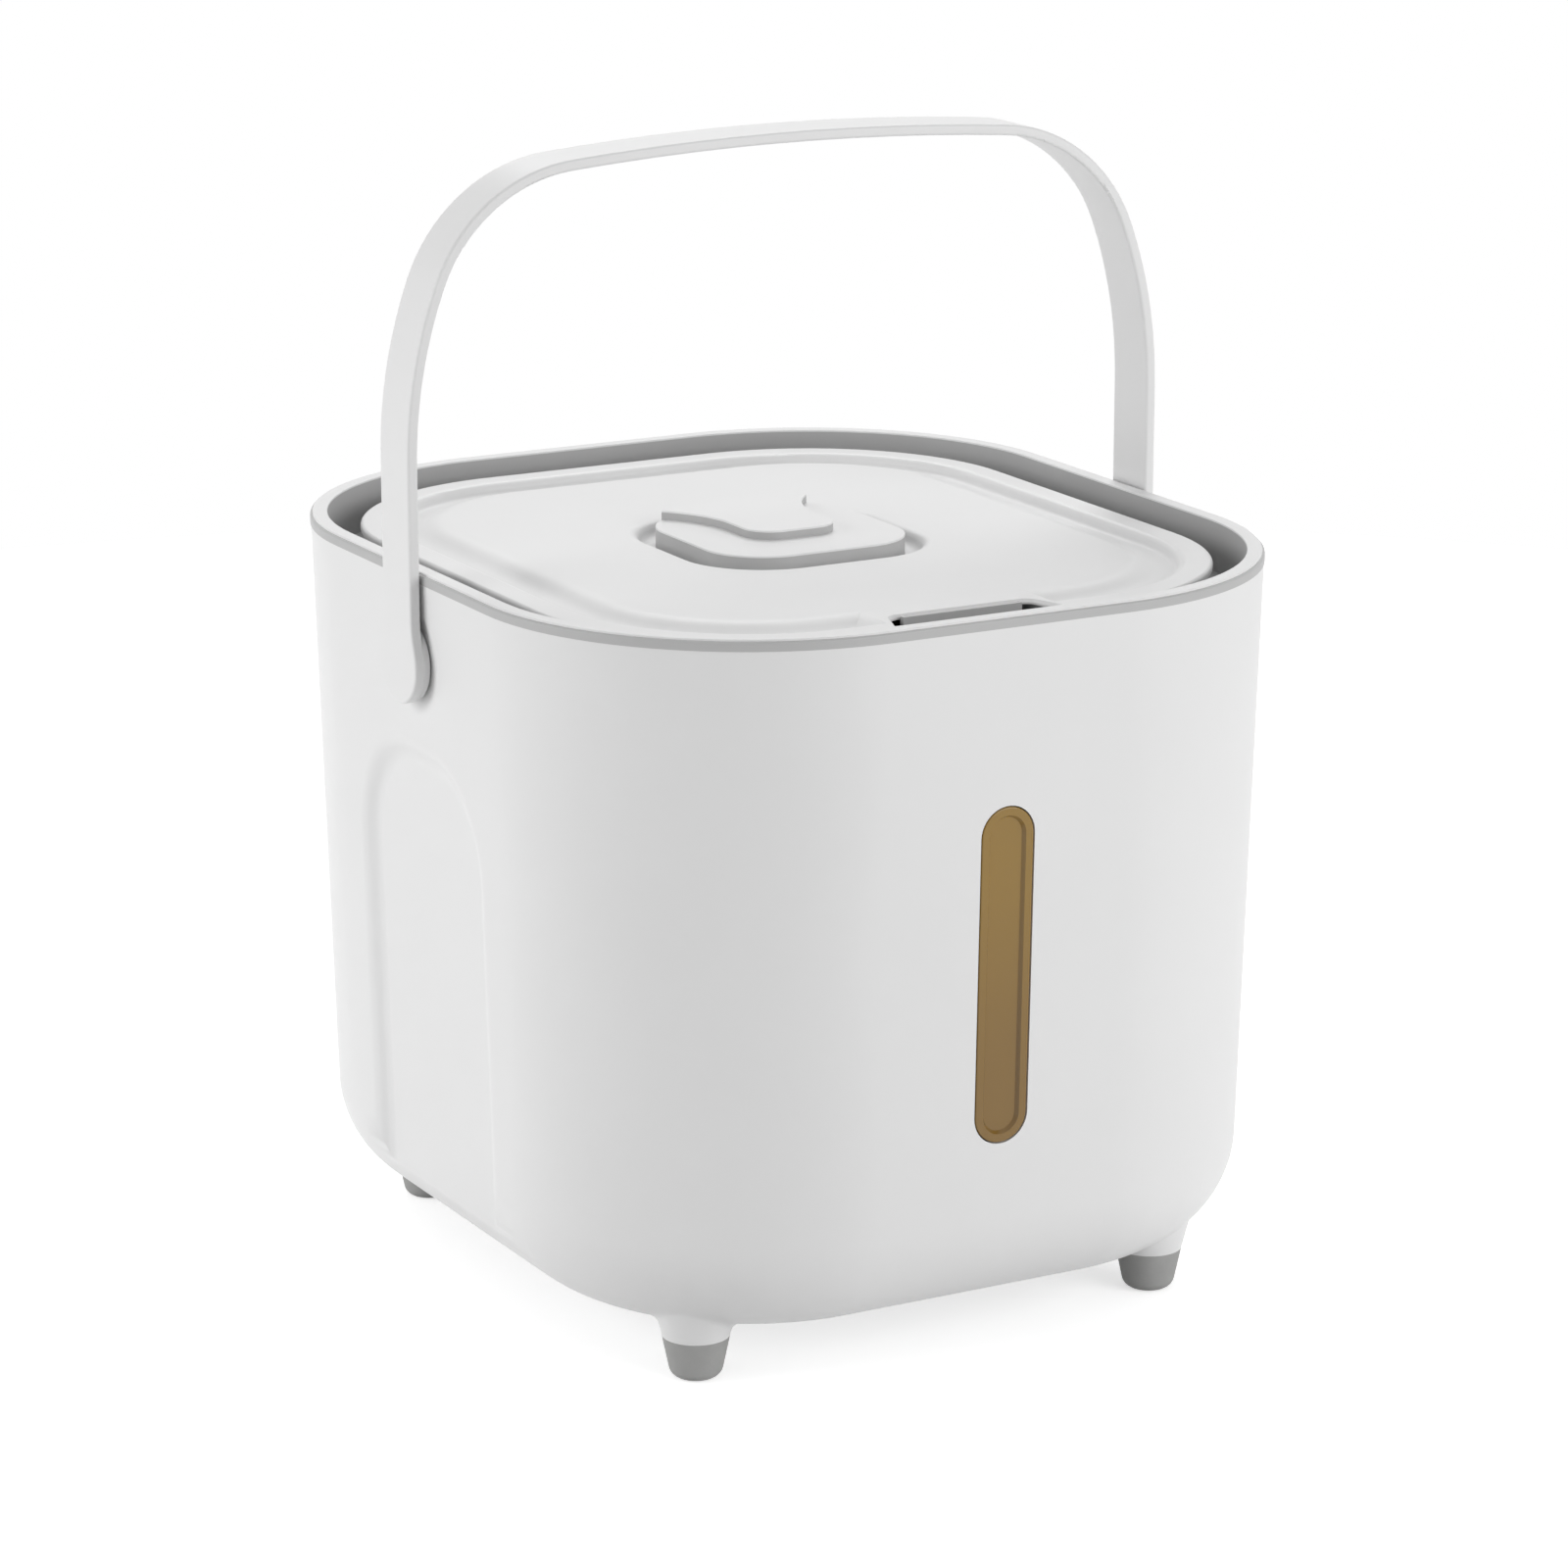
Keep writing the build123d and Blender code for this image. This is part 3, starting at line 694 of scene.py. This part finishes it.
@dataclass
class Feet(SubAssembly):
    """Rubber tips, turned with a rounded sole and shallow grip rings under it."""

    body: Body = Body.BASE
    places: tuple[str, ...] = ("front_left", "front_right", "rear_left", "rear_right")
    sole_share: float = 0.7333
    sole_round: float = 3.0 * MM
    socket_share: float = 0.481
    socket_depth: float = 6.85 * MM
    ring_radii: tuple[float, ...] = (1.2 * MM, 2.7 * MM)
    ring_width: float = 0.7 * MM
    ring_depth: float = 0.5 * MM
    lip_round: float = 0.35 * MM
    steps: int = 96
    round_segments: int = 6
    edge_limit: float = 0.05 * MM

    def build(self) -> list[bpy.types.Object]:
        """Turn and dress the four tips.

        Returns:
            The tips.
        """
        return [self.tip(place) for place in self.places]

    def profile(self, radius: float, height: float) -> list[Vector]:
        """Half section of a tip, from the axis under the sole to the axis in the socket.

        Args:
            radius: Radius of the tip's top.
            height: Height of the tip.

        Returns:
            The section's corners, with x as the radius.
        """
        corners = [(0.0, 0.0)]
        for start in self.ring_radii:
            end = start + self.ring_width
            corners += [(start, 0.0), (start, self.ring_depth), (end, self.ring_depth), (end, 0.0)]
        socket = radius * self.socket_share
        floor = height - self.socket_depth
        corners += [(radius * self.sole_share, 0.0), (radius, height)]
        corners += [(socket, height), (socket, floor), (0.0, floor)]
        return [Vector((x, 0.0, z)) for x, z in corners]

    def tip(self, place: str) -> bpy.types.Object:
        """Turn one tip.

        Args:
            place: Which foot it is.

        Returns:
            The piece.
        """
        node = f"foot_pad_{place}"
        low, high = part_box(node)
        center = (low + high) / 2
        radius = (high.x - low.x) / 2
        height = high.z - low.z
        shape = bmesh.new()
        verts = [shape.verts.new(corner) for corner in self.profile(radius, height)]
        edges = [shape.edges.new(pair) for pair in zip(verts, verts[1:])]
        bmesh.ops.spin(
            shape,
            geom=verts + edges,
            axis=(0, 0, 1),
            cent=(0, 0, 0),
            angle=2 * pi,
            steps=self.steps,
            use_merge=True,
        )
        bmesh.ops.remove_doubles(shape, verts=shape.verts, dist=WELD)
        bmesh.ops.recalc_face_normals(shape, faces=shape.faces)
        self.round_ring(shape, radius * self.sole_share, 0.0, self.sole_round)
        self.round_ring(shape, radius, height, self.lip_round)
        bmesh.ops.translate(shape, verts=shape.verts, vec=(center.x, center.y, low.z))
        return self.settle(shape, f"foot_tip_{place}", FOOT, [node])

    def round_ring(
        self,
        shape: bmesh.types.BMesh,
        radius: float,
        level: float,
        size: float,
    ) -> None:
        """Round one circular edge of a tip.

        Args:
            shape: The tip, with its axis at the origin.
            radius: The edge's radius.
            level: The edge's height.
            size: How far the rounding reaches.
        """
        ring = []
        for edge in shape.edges:
            spots = [abs(v.co.z - level) + abs(v.co.xy.length - radius) for v in edge.verts]
            if max(spots) < self.edge_limit:
                ring.append(edge)
        bmesh.ops.bevel(
            shape,
            geom=ring,
            offset=size,
            offset_type="OFFSET",
            affect="EDGES",
            segments=self.round_segments,
            profile=0.5,
            material=-1,
            clamp_overlap=True,
        )


@dataclass(frozen=True)
class SoftBox:
    """Large square lamp that faces the bucket."""

    name: str
    azimuth: float
    elevation: float
    power: float
    distance: float = 1.8
    size: float = 1.2

    def hang(self, target: Vector) -> None:
        """Hang the lamp.

        Args:
            target: The point that it faces.
        """
        light = bpy.data.lights.new(self.name, "AREA")
        light.shape = "SQUARE"
        light.size = self.size
        light.energy = self.power
        lamp = bpy.data.objects.new(self.name, light)
        bpy.context.scene.collection.objects.link(lamp)
        away = outward(self.azimuth, self.elevation)
        lamp.location = target + away * self.distance
        lamp.rotation_euler = (-away).to_track_quat("-Z", "Y").to_euler()


def outward(azimuth: float, elevation: float) -> Vector:
    """Direction from the bucket to a place round it.

    Args:
        azimuth: Angle round the bucket in degrees, 0 in front and 90 to the right.
        elevation: Angle above the horizon in degrees.

    Returns:
        The direction, of length 1.
    """
    turn = radians(azimuth)
    rise = radians(elevation)
    return Vector((sin(turn) * cos(rise), -cos(turn) * cos(rise), sin(rise)))


@dataclass(frozen=True)
class PhotoCamera:
    """Camera at the photograph's place, found by fitting the printed sizes."""

    azimuth: float = -28.788
    elevation: float = 15.213
    distance: float = 1.74039
    target_height: float = AIM_HEIGHT
    image_px: float = 1600.0
    focal_px: float = 5556.9
    center_px: tuple[float, float] = (795.84, 810.95)
    sensor_mm: float = 36.0

    def place(self) -> None:
        """Set the camera up."""
        lens = bpy.data.cameras.new("photo_camera")
        lens.sensor_width = self.sensor_mm
        lens.lens = self.focal_px / self.image_px * self.sensor_mm
        lens.shift_x = IMAGE_MIDDLE - self.center_px[0] / self.image_px
        lens.shift_y = self.center_px[1] / self.image_px - IMAGE_MIDDLE
        camera = bpy.data.objects.new("photo_camera", lens)
        bpy.context.scene.collection.objects.link(camera)
        away = outward(self.azimuth, self.elevation)
        camera.location = Vector((0, 0, self.target_height)) + away * self.distance
        camera.rotation_euler = (-away).to_track_quat("-Z", "Y").to_euler()
        bpy.context.scene.camera = camera


@dataclass
class Studio:
    """Plain pale floor, soft lamps and an even surrounding light."""

    target_height: float = AIM_HEIGHT
    floor_radius: float = 1.1
    floor_segments: int = 96
    floor_drop: float = 0.1 * MM
    floor_colour: Colour = (0.8, 0.8, 0.8)
    floor_roughness: float = 0.9
    floor_specular: float = 0.0
    floor_glow: float = 0.6
    ambient: float = 0.3
    lamps: tuple[SoftBox, ...] = (
        SoftBox("left_box", azimuth=-104, elevation=15, power=17.0),
        SoftBox("right_box", azimuth=26, elevation=15, power=17.0),
        SoftBox("top_box", azimuth=150, elevation=50, power=14.5),
    )

    def build(self) -> None:
        """Set up the floor, the lamps and the surroundings."""
        bpy.context.scene.view_settings.view_transform = "Standard"
        self.floor()
        for lamp in self.lamps:
            lamp.hang(Vector((0, 0, self.target_height)))
        self.surroundings()

    def seen_directly(self, book: NodeBook) -> Socket:
        """Share of rays that show the background instead of being lit by it.

        Args:
            book: The tree that asks.

        Returns:
            1 for camera, mirror and see-through rays, otherwise 0.
        """
        camera = book.node("ShaderNodeLightPath", output="Is Camera Ray")
        mirror = book.node("ShaderNodeLightPath", output="Is Glossy Ray")
        through = book.node("ShaderNodeLightPath", output="Is Transmission Ray")
        return camera.largest(mirror).largest(through)

    def floor(self) -> None:
        """Lay the floor, which keeps the bucket's shadow."""
        shape = bmesh.new()
        bmesh.ops.create_circle(
            shape,
            cap_ends=True,
            radius=self.floor_radius,
            segments=self.floor_segments,
        )
        bmesh.ops.translate(shape, verts=shape.verts, vec=(0, 0, -self.floor_drop))
        mesh = bpy.data.meshes.new("studio_floor")
        shape.to_mesh(mesh)
        shape.free()
        floor = bpy.data.objects.new("studio_floor", mesh)
        bpy.context.scene.collection.objects.link(floor)
        paint = bpy.data.materials.new("studio_floor_paint")
        paint.use_nodes = True
        book = NodeBook(paint.node_tree)
        glow = book.mix(self.seen_directly(book), DARK, BRIGHT)
        book.surface(
            {
                "Base Color": (*self.floor_colour, OPAQUE),
                "Roughness": self.floor_roughness,
                "Specular IOR Level": self.floor_specular,
                "Emission Color": glow,
                "Emission Strength": self.floor_glow,
            }
        )
        mesh.materials.append(paint)

    def surroundings(self) -> None:
        """Light the scene evenly from all round, with white behind it."""
        world = bpy.data.worlds.new("studio_surroundings")
        world.use_nodes = True
        bpy.context.scene.world = world
        book = NodeBook(world.node_tree)
        seen = self.seen_directly(book)
        level = self.ambient + seen * (FULL - self.ambient)
        inputs = {"Color": (*BRIGHT, OPAQUE), "Strength": level}
        light = book.node("ShaderNodeBackground", {}, inputs)
        book.node("ShaderNodeOutputWorld", {}, {"Surface": light})


def main() -> None:
    """Build the studio and every sub-assembly."""
    logging.basicConfig(level=logging.INFO, format="%(name)s: %(message)s")
    PhotoCamera().place()
    Studio().build()
    assemblies: list[SubAssembly] = [
        Tub(),
        Rim(),
        LevelWindow(),
        Bail(),
        Lid(),
        CupCover(),
        Feet(),
    ]
    for assembly in assemblies:
        for piece in assembly.build():
            LOG.info("%s: %d faces", piece.name, len(piece.data.polygons))


if __name__ == "__main__":
    main()
